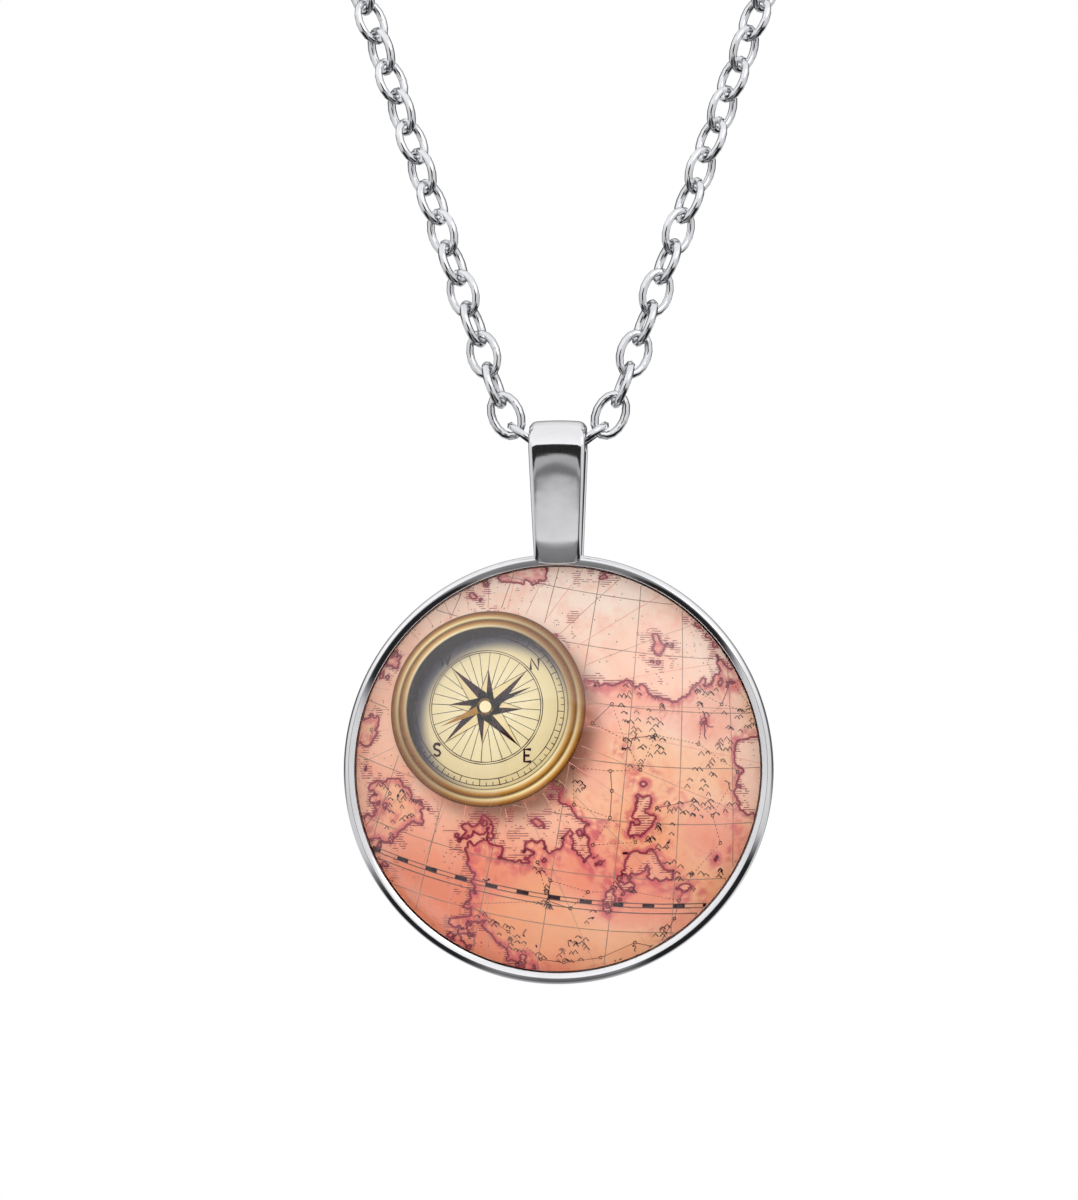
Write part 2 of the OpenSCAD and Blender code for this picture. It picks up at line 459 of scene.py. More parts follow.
def tray_profile(sizes):
    """Half section of the tray, from the middle of its back round to the middle of its floor."""
    inner = TRAY_RADIUS - sizes.rim_width
    wall = TRAY_RADIUS - sizes.groove
    back = TRAY_HIGH.y
    rim = rim_profile(TRAY_RADIUS, back - sizes.tray_depth)
    floor = back - sizes.plate
    soft = 0.15 * MM
    field = FIELD_SHARE * wall
    recess = sizes.recess
    profile = [(0, back - recess), (0.5 * wall, back - recess)]
    profile += [(field + along * recess, back - deep * recess)
                for along, deep in ((-3, 1), (-0.5, 1), (0, 0.8), (1, 0.1), (1.6, 0), (4, 0))]
    profile += [(wall - 2 * soft, back)]
    profile += arc((wall - soft, back - soft), soft, soft, 90, 0, 5)
    profile += [(wall, rim[0][1] + 3 * sizes.groove)]
    profile += [(max(radius, inner), depth) for radius, depth in rim]
    profile += arc((inner - soft, floor - soft), soft, soft, 0, 90, 4)
    profile += [(0.5 * inner, floor), (0, floor)]
    return profile


# Lean of the bail's front leg in degrees, at shares of the way down it.
LEG_SHARES = (0.0, 0.022, 0.09, 0.17, 0.25, 0.78, 0.86, 0.93, 1.0)
LEG_LEANS = (2.6, 3.1, 5.4, 6.6, 7.6, 9.0, 14.5, 20.0, 28.0)
LEG_STEPS = 400
LOOP_STEPS = 48


def strap_path(sizes):
    """Stations ((depth, height), outward way) of the strap's middle line, from its front foot upwards."""
    half = sizes.bail_strap / 2
    foot = Vector((TRAY_HIGH.y - sizes.tray_depth - sizes.bail_proud,
                   TRAY_MIDDLE + TRAY_RADIUS - sizes.rim_width))
    first = math.radians(LEG_LEANS[0])
    top = -LOOP_RADIUS * Vector((math.cos(first), math.sin(first)))
    drop = top.y - foot.y
    shares = np.linspace(0, 1, LEG_STEPS + 1)
    leans = np.radians(np.interp(shares, LEG_SHARES, LEG_LEANS))
    depths = np.cumsum(np.tan(leans)) * drop / len(shares)
    depths += shares * (foot.x - top.x - depths[-1])
    stations = []
    runs = [0.0, 0.03, 0.07, 0.12] + list(np.arange(0.2, drop / MM - 0.05, 0.12))
    for share in (1 - run * MM / drop for run in runs):
        lean = np.interp(share, shares, leans)
        way = -Vector((math.cos(lean), math.sin(lean)))
        outside = top + Vector((np.interp(share, shares, depths), -drop * share))
        stations.append((outside - half * way, way))
    for step in range(LOOP_STEPS + 1):
        bend = (math.pi + first) * (1 - step / LOOP_STEPS)
        way = Vector((math.cos(bend), math.sin(bend)))
        stations.append(((LOOP_RADIUS - half) * way, way))
    back = LOOP_RADIUS - half - 0.012 * MM
    end = TRAY_MIDDLE + TRAY_RADIUS - 0.25 * MM
    stations += [(Vector((back, end * share)), Vector((1, 0))) for share in (0.15, 0.4, 0.7, 1.0)]
    return stations


def strap_section(half_width, half_strap, outer_across, outer_deep, edge, shrink, crown):
    """Section of the strap as (across, outward) points, crowned and rounder outside than inside."""
    wide = half_width - shrink
    deep = half_strap - shrink
    flat = wide - outer_across
    section = arc((flat, deep - outer_deep), outer_across, outer_deep, 0, 90, 6)
    section += [(flat * (1 - step / 6), deep) for step in range(1, 12)]
    section += arc((-flat, deep - outer_deep), outer_across, outer_deep, 90, 180, 6)
    section = [(x, y - crown * (x / wide) ** 2) for x, y in section]
    section += arc((edge - wide, edge - deep), edge, edge, 180, 270, 5)
    section += arc((wide - edge, edge - deep), edge, edge, 270, 360, 5)
    return section


def strap_width(sizes, height):
    """Half the strap's width at a height above the hang point, with its round foot corners."""
    foot_height = TRAY_MIDDLE + TRAY_RADIUS - sizes.rim_width
    taper = (sizes.bail_width - sizes.bail_foot) / 2 / -foot_height
    half = sizes.bail_width / 2 - max(0.0, -height) * taper
    short = foot_height + sizes.bail_corner - height
    if short > 0:
        short = min(short, sizes.bail_corner)
        half -= sizes.bail_corner - math.sqrt(sizes.bail_corner ** 2 - short ** 2)
    return half


def build_strap(sizes):
    """Vertices and faces of the strap bail, in the frame's place."""
    vertices, rows = [], []
    stations = strap_path(sizes)
    edge = sizes.bail_edge
    lip = 0.12 * MM
    for spot, way in stations:
        outer = (spot + sizes.bail_strap / 2 * way).y
        share = eased(min(1.0, max(0.0, outer / LOOP_RADIUS - 0.3) / 0.7)) if way.y > 0 else 0.0
        outer_across = edge + (sizes.bail_corner - edge) * share
        outer_deep = edge + (0.4 * MM - edge) * share
        run = (spot - stations[0][0]).length
        shrink = lip - math.sqrt(lip ** 2 - (lip - run) ** 2) if run < lip and spot.x < 0 else 0.0
        section = strap_section(strap_width(sizes, outer), sizes.bail_strap / 2, outer_across,
                                outer_deep, 0.5 * edge, shrink, sizes.bail_crown)
        rows.append(list(range(len(vertices), len(vertices) + len(section))))
        vertices += [HANG + Vector((across, *(spot + outward * way))) for across, outward in section]
    return vertices, band_faces(rows) + [rows[0][::-1], rows[-1]]


def eased(share):
    """A share from 0 to 1 that starts and ends softly."""
    return share * share * (3 - 2 * share)


class PENDANT_OT_tray(bpy.types.Operator):
    """Turns the round tray with its faceted rim and sweeps the strap bail that is soldered to it"""

    bl_idname = "pendant.tray"
    bl_label = "Tray and bail"

    def execute(self, context):
        sizes = context.scene.pendant_sizes
        middle = HANG + Vector((0, 0, TRAY_MIDDLE))
        vertices, faces = revolved(tray_profile(sizes), TRAY_STEPS, middle)
        strap, sides = build_strap(sizes)
        offset = len(vertices)
        faces += [[corner + offset for corner in side] for side in sides]
        material = silver_material("cast_silver", context.scene.pendant_colours.silver, 0.5)
        satin_back(material, HANG.y + TRAY_HIGH.y - 0.12 * MM)
        piece = new_piece("silver_tray", vertices + strap, faces, material, "pendant",
                          ["tray"])
        face_outwards(piece.data)
        mark_sharp(piece.data, math.radians(50))
        return {"FINISHED"}


def face_outwards(mesh):
    """Turns each closed shell of a mesh so that its faces point outwards."""
    shape = bmesh.new()
    shape.from_mesh(mesh)
    bmesh.ops.remove_doubles(shape, verts=shape.verts, dist=1e-8)
    bmesh.ops.recalc_face_normals(shape, faces=shape.faces)
    shape.to_mesh(mesh)
    shape.free()


class PENDANT_OT_glass(bpy.types.Operator):
    """Turns the clear domed glass with its flat back and soft shoulder"""

    bl_idname = "pendant.glass"
    bl_label = "Glass"

    def execute(self, context):
        sizes = context.scene.pendant_sizes
        radius = GLASS_HIGH.x
        back = GLASS_HIGH.y
        dome = (GLASS_HIGH.y - GLASS_LOW.y) - sizes.glass_edge
        ball = (radius ** 2 + dome ** 2) / (2 * dome)
        ball_middle = GLASS_LOW.y + ball
        shoulder = sizes.glass_round
        lean = math.asin((radius - shoulder) / (ball - shoulder))
        round_middle = ball_middle - (ball - shoulder) * math.cos(lean)
        soft = 0.1 * MM
        profile = [(0, back), (0.5 * radius, back), (radius - 2 * soft, back)]
        profile += arc((radius - soft, back - soft), soft, soft, 90, 0, 4)
        profile += [(radius, (back + round_middle) / 2)]
        profile += arc((radius - shoulder, round_middle), shoulder, -shoulder, 0,
                       90 - math.degrees(lean), 8)
        profile += [
            (ball * math.sin(lean * share), ball_middle - ball * math.cos(lean * share))
            for share in (1 - step / 40 for step in range(1, 41))
        ]
        vertices, faces = revolved(profile, GLASS_STEPS, HANG + Vector((0, 0, TRAY_MIDDLE)))
        piece = new_piece("glass_dome", vertices, faces, glass_material(), "pendant",
                          ["glass"])
        face_outwards(piece.data)
        mark_sharp(piece.data, math.radians(40))
        return {"FINISHED"}


# Places and sizes on the print are in millimetres from its middle: u to the right and v upwards.
ROSE_MIDDLE = (-4.2, 3.6)
PRINT_EDGE = 12.44
CHART_HALF = 12.6
CHART_STEP = 0.1
TOWNS = 42
RIVER_TRIES = 90
HILL_TRIES = 2400
# How far one printed layer lies in front of the next, in millimetres.
LAYER = 0.008


def chart_height(u, v):
    """Height of the made-up land at a place on the print in millimetres. The coasts lie at 0."""
    rough = noise.fractal(Vector((0.17 * u + 31.4, 0.17 * v + 8.9, 2.6)), 0.7, 2.1, 7)
    away = math.hypot(u - ROSE_MIDDLE[0], v - ROSE_MIDDLE[1])
    sea = 0.7 * math.exp(-(away / 5.6) ** 2)
    return rough + 0.012 * (u - v) - sea + 0.09


def chart_relief():
    """The land on a square grid: the grid's places, its heights, slopes and distances to the coast."""
    axis = np.arange(-CHART_HALF, CHART_HALF + CHART_STEP / 2, CHART_STEP)
    heights = np.array([[chart_height(u, v) for v in axis] for u in axis])
    slope_u, slope_v = np.gradient(heights, CHART_STEP)
    distance = heights / np.maximum(np.hypot(slope_u, slope_v), 0.03)
    return SimpleNamespace(axis=axis, heights=heights, distance=distance, slope_u=slope_u,
                           slope_v=slope_v)


def grid_value(grid, u, v):
    """Value of a grid at a place, smoothed between its four neighbours."""
    x, y = (min(max((place + CHART_HALF) / CHART_STEP, 0), len(grid) - 1.001) for place in (u, v))
    i, j = int(x), int(y)
    s, t = x - i, y - j
    low = grid[i, j] * (1 - s) + grid[i + 1, j] * s
    high = grid[i, j + 1] * (1 - s) + grid[i + 1, j + 1] * s
    return float(low * (1 - t) + high * t)


def level_lines(axis, heights):
    """Lines where a grid of heights passes through 0, as lists of points."""
    crossings, neighbours = {}, {}
    for i in range(len(axis) - 1):
        for j in range(len(axis) - 1):
            corners = ((i, j), (i + 1, j), (i + 1, j + 1), (i, j + 1))
            cuts = []
            for a, b in zip(corners, corners[1:] + corners[:1]):
                if (heights[a] > 0) == (heights[b] > 0):
                    continue
                low, high = min(a, b), max(a, b)
                share = heights[low] / (heights[low] - heights[high])
                crossings[low, high] = tuple(axis[start] + share * (axis[end] - axis[start])
                                             for start, end in zip(low, high))
                cuts.append((low, high))
            for a, b in zip(cuts[::2], cuts[1::2]):
                neighbours.setdefault(a, []).append(b)
                neighbours.setdefault(b, []).append(a)
    waiting = set(neighbours)
    lines = []
    for start in sorted(neighbours, key=lambda edge: len(neighbours[edge])):
        if start not in waiting:
            continue
        waiting.discard(start)
        line, here = [start], start
        while True:
            onward = [edge for edge in neighbours[here] if edge in waiting]
            if not onward:
                break
            here = onward[0]
            waiting.discard(here)
            line.append(here)
        if len(line) > 2 and start in neighbours[here]:
            line.append(start)
        lines.append([crossings[edge] for edge in line])
    return [line for line in lines if len(line) > 5]


class Print:
    """Flat printed shapes, gathered as the vertices, faces and colours of one mesh."""

    def __init__(self):
        self.vertices, self.faces, self.colours = [], [], []

    def spot(self, u, v, layer, tone):
        """Adds a vertex at a place on the print and returns its number."""
        depth = PAPER_LOW.y - layer * LAYER * MM
        self.vertices.append(HANG + Vector((u * MM, depth, TRAY_MIDDLE + v * MM)))
        self.colours.append(tone)
        return len(self.vertices) - 1

    def patch(self, points, tone, layer):
        """Fills a small outline, given anticlockwise as seen from the front."""
        self.faces.append([self.spot(u, v, layer, tone) for u, v in points])

    def disc(self, radius, steps, tone, layer):
        """Fills a circle round the rose's middle."""
        self.patch(round_rose(radius, steps), tone, layer)

    def line(self, points, width, tone, layer, inside=None):
        """Draws a line, only where inside(u, v) holds if that is given."""
        for drawn, run in groupby(points, lambda point: inside is None or bool(inside(*point))):
            run = list(run)
            if drawn and len(run) > 1:
                self.strip(run, width, tone, layer)

    def strip(self, points, width, tone, layer):
        """One unbroken line of a given width in millimetres."""
        pairs = []
        for i, (u, v) in enumerate(points):
            before = points[max(i - 1, 0)]
            after = points[min(i + 1, len(points) - 1)]
            along = (after[0] - before[0], after[1] - before[1])
            wobble = 1 + 0.35 * noise.noise(Vector((1.7 * u, 1.7 * v, layer + 0.5)))
            half = width / 2 * wobble / (math.hypot(*along) or 1.0)
            pairs.append([self.spot(u - way * along[1], v + way * along[0], layer, tone)
                          for way in (-half, half)])
        for (a, b), (c, d) in zip(pairs, pairs[1:]):
            self.faces.append([a, c, d, b])

    def rings(self, radii, shade, layer, steps=180):
        """Rings between radii round the rose's middle, with shade(radius, turn) as their colour."""
        rows = [[self.spot(u, v, layer, shade(radius, TAU * step / steps))
                 for step, (u, v) in enumerate(round_rose(radius, steps))] for radius in radii]
        self.faces += band_faces(rows)


def round_rose(radius, steps):
    """Places on a circle round the rose's middle."""
    u, v = ROSE_MIDDLE
    turns = (TAU * step / steps for step in range(steps))
    return [(u + radius * math.cos(turn), v + radius * math.sin(turn)) for turn in turns]


def tinted(tone, share, other):
    """A colour moved by a share towards another."""
    return tuple(a + (b - a) * share for a, b in zip(tone, other))


def on_chart(u, v):
    """True inside the print's edge and outside the rose."""
    rose_radius = bpy.context.scene.pendant_sizes.rose_radius / MM
    return math.hypot(u, v) < PRINT_EDGE and math.dist((u, v), ROSE_MIDDLE) > rose_radius


def spaced(start, end, step=0.25):
    """Points on a straight line."""
    count = max(2, int(math.dist(start, end) / step))
    return [tuple(a + (b - a) * i / count for a, b in zip(start, end)) for i in range(count + 1)]


def draw_net(page, colours, fine):
    """Curved meridians and parallels, one of them a scale bar, and the rhumb lines that leave the rose."""
    pole = (9.0, 52.0)
    south = -math.pi / 2 - 0.16
    ink = tinted(colours.ink, 0.4, colours.peach)

    def from_pole(radius, turn):
        return (pole[0] + radius * math.cos(turn), pole[1] + radius * math.sin(turn))

    def parallel(radius, start=-2.4, end=-0.9):
        return [from_pole(radius, turn) for turn in np.arange(start, end, 0.006)]

    for number in range(-9, 10):
        meridian = [from_pole(radius, south + number * 0.062) for radius in np.arange(34, 70, 0.3)]
        page.line(meridian, fine, ink, 1, on_chart)
    for number in range(-5, 6):
        page.line(parallel(52 + 3.3 * number), fine, ink, 1, on_chart)
    for radius in (60.1, 60.35, 60.7):
        page.line(parallel(radius), 1.2 * fine, tinted(ink, 0.5, colours.ink), 2, on_chart)
    bar = 0.0155
    for number in range(-24, 24, 2):
        start = south + number * bar
        page.line(parallel(60.22, start, start + bar), 0.25, colours.ink, 2, on_chart)
    for number, reach in enumerate(round_rose(26, 32)):
        tone = tinted(colours.rose if number % 2 else colours.ink, 0.6, colours.peach)
        page.line(spaced(ROSE_MIDDLE, reach), 0.8 * fine, tone, 1, on_chart)


def draw_land(page, colours, relief, coast_width, fine):
    """Coasts and their shallows, rivers, towns, roads, hills and the dots of shoals, all made up."""
    chance = random.Random(11)
    plum = tinted(colours.ink, 0.45, colours.rose)
    for coast in level_lines(relief.axis, relief.heights):
        page.line(coast, coast_width, plum, 3, on_chart)
    draw_shallows(page, colours, relief.distance, fine)
    draw_rivers(page, colours, relief, fine, chance)
    draw_towns(page, colours, relief.heights, fine, chance)
    draw_hills(page, colours, relief.heights, fine, chance)


def anywhere(chance, reach=12):
    """A random place on the print."""
    return chance.uniform(-reach, reach), chance.uniform(-reach, reach)


def draw_shallows(page, colours, distance, fine):
    """Short level strokes in the sea along the coasts."""
    tone = tinted(colours.ink, 0.35, colours.rose)

    def shallow(u, v):
        reach = 0.3 + 0.4 * noise.noise(Vector((1.1 * u, 1.1 * v, 6.4)))
        return -reach < grid_value(distance, u, v) < 0 and on_chart(u, v)

    for v in np.arange(-12.4, 12.4, 0.14):
        page.line([(u, v) for u in np.arange(-12.4, 12.4, 0.07)], 0.8 * fine, tone, 2, shallow)


def draw_towns(page, colours, heights, fine, chance):
    """Small rings for towns, and dotted roads between the ones that lie near each other."""
    towns = []
    while len(towns) < TOWNS:
        u, v = anywhere(chance)
        apart = min((math.dist((u, v), town) for town in towns), default=9)
        if grid_value(heights, u, v) > 0.05 and on_chart(u, v) and apart > 1.1:
            towns.append((u, v))
    road_tone = tinted(colours.ink, 0.3, colours.rose)
    for u, v in towns:
        page.line([(u + 0.09 * math.cos(t), v + 0.09 * math.sin(t)) for t in np.arange(0, 6.6, 0.6)],
                  fine, colours.ink, 3)
        for end in sorted(towns, key=lambda town: math.dist(town, (u, v)))[1:3]:
            road = spaced((u, v), end, 0.11)[1:-1]
            for dash in zip(road[::2], road[1::2]):
                page.line(dash, 0.7 * fine, road_tone, 2,
                          lambda x, y: grid_value(heights, x, y) > 0 and on_chart(x, y))


def draw_rivers(page, colours, relief, fine, chance):
    """Rivers that run down the made-up land to its coasts."""
    for _ in range(RIVER_TRIES):
        u, v = anywhere(chance)
        if grid_value(relief.heights, u, v) < 0.16:
            continue
        river = [(u, v)]
        while len(river) < 140 and grid_value(relief.heights, u, v) > 0:
            du, dv = grid_value(relief.slope_u, u, v), grid_value(relief.slope_v, u, v)
            size = math.hypot(du, dv) or 1.0
            bend = 0.9 * noise.noise(Vector((2.2 * u, 2.2 * v, 9.1)))
            u -= 0.1 * (du / size + bend * dv / size)
            v -= 0.1 * (dv / size - bend * du / size)
            river.append((u, v))
        page.line(river, 1.1 * fine, tinted(colours.ink, 0.2, colours.rose), 2, on_chart)


def draw_hills(page, colours, heights, fine, chance):
    """Rows of small drawn hills on the land and dots on the sea."""
    for _ in range(HILL_TRIES):
        u, v = anywhere(chance, 12.3)
        high = grid_value(heights, u, v)
        ridge = noise.noise(Vector((0.5 * u, 0.5 * v, 5.5)))
        if high > 0.07 and ridge > 0.05:
            wide, tall = chance.uniform(0.12, 0.2), chance.uniform(0.12, 0.24)
            page.line([(u - wide, v), (u - 0.1 * wide, v + tall), (u + wide, v)], fine, colours.ink,
                      3, on_chart)
            for share in (0.35, 0.65):
                top = (u + share * wide, v + tall * (1 - share))
                page.line([top, (top[0] + 0.06, top[1] - 0.11)], 0.8 * fine, colours.ink, 3, on_chart)
        elif high < -0.02 and chance.random() < 0.35:
            page.line([(u, v), (u + 0.05, v)], 1.3 * fine, colours.ink, 3, on_chart)


# Strokes of the letters, each one unit high.
LETTERS = {
    "N": [[(-0.4, -0.5), (-0.4, 0.5), (0.4, -0.5), (0.4, 0.5)]],
    "E": [[(0.35, 0.5), (-0.35, 0.5), (-0.35, -0.5), (0.35, -0.5)], [(-0.35, 0.0), (0.2, 0.0)]],
    "S": [[(0.35, 0.36), (0.1, 0.5), (-0.2, 0.48), (-0.35, 0.28), (-0.25, 0.08), (0.22, -0.08),
           (0.35, -0.28), (0.2, -0.48), (-0.1, -0.5), (-0.36, -0.36)]],
    "W": [[(-0.5, 0.5), (-0.25, -0.5), (0.0, 0.3), (0.25, -0.5), (0.5, 0.5)]],
}

# Tones across the brass case, from the card outwards.
RING_STOPS = (0.0, 0.1, 0.3, 0.48, 0.6, 0.8, 1.0)
RING_TONES = ((36, 18, 8), (255, 240, 190), (206, 148, 66), (84, 44, 14), (255, 234, 172),
              (186, 122, 48), (52, 24, 10))
# Radius of the card as a share of the case's, and the turns of the dial and of its needle in degrees.
CARD_SHARE = 0.82
DIAL_TURN = -49
HEADING = 72


def draw_rose(page, colours, radius, fine):
    """A compass on the chart: its brass case, card, degree scale, star, letters and needle."""
    dark = tinted(colours.ink, 0.1, screen_colour(30, 22, 16))
    card_radius = CARD_SHARE * radius
    tones = [screen_colour(*tone) for tone in RING_TONES]

    def ring_shade(r, turn):
        share = (r / radius - CARD_SHARE) / (1 - CARD_SHARE)
        tone = tuple(float(np.interp(share, RING_STOPS, part)) for part in zip(*tones))
        light = 0.5 + 0.5 * math.cos(2 * (turn - math.radians(125)))
        return tinted(screen_colour(104, 52, 20), 0.3 + 0.7 * light, tone)

    def card_shade(r, turn):
        share = r / card_radius
        tone = tinted(colours.card, 0.6 * (1 - share), screen_colour(252, 242, 208))
        tone = tinted(tone, 0.45 * share ** 3, screen_colour(186, 158, 100))
        moved = math.hypot(share * math.cos(turn) - 0.15, share * math.sin(turn) + 0.17)
        lid = eased(min(1.0, max(0.0, (moved - 0.82) / 0.3)))
        tone = tinted(tone, min(1.0, 1.6 * lid), screen_colour(122, 122, 136))
        return tinted(tone, 0.97 * lid, screen_colour(22, 21, 30))

    def around(r, degrees):
        turn = math.radians(degrees + DIAL_TURN)
        return (ROSE_MIDDLE[0] + r * radius * math.cos(turn), ROSE_MIDDLE[1] + r * radius * math.sin(turn))

    page.rings([card_radius * s / 30 for s in range(1, 31)], card_shade, 2)
    page.disc(card_radius / 30, 24, card_shade(0, 0), 2)
    page.rings([radius * (CARD_SHARE + (1 - CARD_SHARE) * s / 20) for s in range(21)], ring_shade, 2)
    for r in (0.555, 0.575, 0.725, 0.79):
        page.line([around(r, d) for d in range(0, 361, 3)], 0.9 * fine, dark, 3)
    for degrees in range(0, 360, 5):
        inner = 0.755 if degrees % 15 else 0.725
        page.line([around(inner, degrees), around(0.79, degrees)], 0.9 * fine, dark, 3)
    for number in range(32):
        page.line([around(r, number * 11.25) for r in (0.1, 0.555)], 0.7 * fine, dark, 3)
    for first, long, wide in ((45, 0.38, 0.08), (0, 0.54, 0.095)):
        for degrees in range(first, 360, 90):
            tip = around(long, degrees)
            left, right = (around(1.45 * wide, degrees + way) for way in (45, -45))
            page.patch([ROSE_MIDDLE, right, tip], dark, 4)
            page.patch([ROSE_MIDDLE, tip, left], screen_colour(236, 216, 164), 4)
            page.line([ROSE_MIDDLE, left, tip], 0.7 * fine, dark, 5)
    tall = 0.12 * radius
    for letter, degrees in (("E", 0), ("N", 90), ("W", 180), ("S", 270)):
        u, v = around(0.65, degrees)
        for stroke in LETTERS[letter]:
            page.line([(u + x * 0.8 * tall, v + y * tall) for x, y in stroke], 3 * fine, dark, 5)
    for end, tone in ((HEADING, (34, 30, 40)), (HEADING + 180, (176, 128, 58))):
        page.patch([around(0.045, end - 90), around(0.5, end), around(0.045, end + 90)],
                   screen_colour(*tone), 5)
    page.disc(0.5, 20, screen_colour(120, 84, 40), 5)
    page.disc(0.35, 20, screen_colour(250, 236, 190), 5.5)


def paint_wash(colours, relief, reach):
    """Colour of the paper at a place: its wash, the tinted lands and coasts, and the rose's shadow."""
    shade_middle = (ROSE_MIDDLE[0] + 0.7, ROSE_MIDDLE[1] - 0.75)

    def tone_at(u, v):
        drift = 0.9 * noise.fractal(Vector((0.09 * u, 0.09 * v, 17.2)), 0.9, 2.0, 3)
        warm = min(1.0, max(0.0, 0.42 - 0.036 * v - 0.012 * u + 0.5 * drift))
        tone = tinted(colours.cream, min(1.0, 2 * warm), colours.peach)
        tone = tinted(tone, max(0.0, 2 * warm - 1.0), colours.coral)
        off = grid_value(relief.distance, u, v)
        if off > 0:
            region = noise.noise(Vector((0.22 * u, 0.22 * v, 3.3)))
            land = WARM_LAND if region > 0 else PALE_LAND
            tone = tinted(tone, 0.16 + 0.24 * min(1.0, abs(region) / 0.25), land)
            tone = tinted(tone, 0.85 * math.exp(-(off / 0.36) ** 2), colours.rose)
        else:
            tone = tinted(tone, 0.25 * math.exp(off / 0.2), colours.rose)
        away = math.dist((u, v), shade_middle) - reach
        return tinted(tone, 0.85 / (1 + math.exp(away / 0.27)), ROSE_SHADOW)

    return tone_at


def paper_mesh(tone_at):
    """Vertices, faces and front colours of the paper disc."""
    radius = PAPER_HIGH.x
    rings, steps = 96, 360
    vertices, tones = [], []

    def row(r, depth, printed):
        first = len(vertices)
        spots = steps if r > 0 else 1
        for turn in (TAU * step / steps for step in range(spots)):
            x, z = r * math.cos(turn), r * math.sin(turn)
            vertices.append(HANG + Vector((x, depth, TRAY_MIDDLE + z)))
            tones.append(tone_at(x / MM, z / MM) if printed else PAPER_BACK)
        return [first + step % spots for step in range(steps)]

    rows = [row(radius * ring / rings, PAPER_LOW.y, True) for ring in range(rings + 1)]
    rows += [row(radius, PAPER_HIGH.y, False), row(0, PAPER_HIGH.y, False)]
    return vertices, band_faces(rows), tones


def colour_mesh(mesh, name, tones):
    """Stores one colour for each vertex as a named attribute."""
    layer = mesh.attributes.new(name, "FLOAT_COLOR", "POINT")
    layer.data.foreach_set("color", np.array(tones, dtype=np.float32).ravel())


class PENDANT_OT_picture(bpy.types.Operator):
    """Prints the paper disc: a made-up chart with coasts, rivers and hills, and a compass rose"""

    bl_idname = "pendant.picture"
    bl_label = "Printed picture"

    def execute(self, context):
        sizes = context.scene.pendant_sizes
        colours = plain_colours(context.scene.pendant_colours)
        relief = chart_relief()
        fine = sizes.fine_line / MM
        rose_radius = sizes.rose_radius / MM
        vertices, faces, tones = paper_mesh(paint_wash(colours, relief, rose_radius))
        paper = new_piece("picture_paper", vertices, faces, paper_material(), "pendant",
                          ["picture"])
        colour_mesh(paper.data, "wash", tones)
        mark_sharp(paper.data, math.radians(40))
        page = Print()
        draw_net(page, colours, fine)
        draw_land(page, colours, relief, sizes.coast_line / MM, fine)
        draw_rose(page, colours, rose_radius, fine)
        ink = new_piece("picture_ink", page.vertices, page.faces, ink_material(), "pendant",
                        ["picture"])
        colour_mesh(ink.data, "ink", page.colours)
        return {"FINISHED"}


def plain_colours(group):
    """The colours as plain tuples, which mix faster than properties."""
    return SimpleNamespace(**{name: tuple(getattr(group, name)) for name in group.__annotations__})


def loose_shells(mesh):
    """Splits a CAD mesh into its shells: for each, the corners of its triangles."""
    shape = bmesh.new()
    shape.from_mesh(mesh)
    bmesh.ops.remove_doubles(shape, verts=shape.verts, dist=1e-6)
    bmesh.ops.triangulate(shape, faces=[face for face in shape.faces if len(face.verts) > 3])
    shape.verts.index_update()
    leader = list(range(len(shape.verts)))

    def find(vertex):
        while leader[vertex] != vertex:
            leader[vertex] = leader[leader[vertex]]
            vertex = leader[vertex]
        return vertex

    for edge in shape.edges:
        leader[find(edge.verts[0].index)] = find(edge.verts[1].index)
    corners = np.array([vertex.co for vertex in shape.verts])
    triangles = np.array([[vertex.index for vertex in face.verts] for face in shape.faces])
    owners = np.array([find(vertex) for vertex in triangles[:, 0]])
    shape.free()
    return [corners[triangles[owners == owner]] for owner in np.unique(owners)]


def link_places(node):
    """Middle and turn of each link of a CAD node: X is its length and Z its flat side."""
    places = []
    for shell in loose_shells(frame["nodes"][node].data):
        spots = shell.mean(axis=1)
        areas = np.linalg.norm(np.cross(shell[:, 1] - shell[:, 0], shell[:, 2] - shell[:, 0]), axis=1)
        middle = (spots * areas[:, None]).sum(0) / areas.sum()
        spread = (spots - middle).T @ ((spots - middle) * areas[:, None])
        ways = np.linalg.eigh(spread)[1]
        along, flat = Vector(ways[:, 2]), Vector(ways[:, 0])
        side = flat.cross(along)
        turn = Matrix((along, side, flat)).transposed().to_quaternion()
        places.append((Vector(middle), turn))
    return places


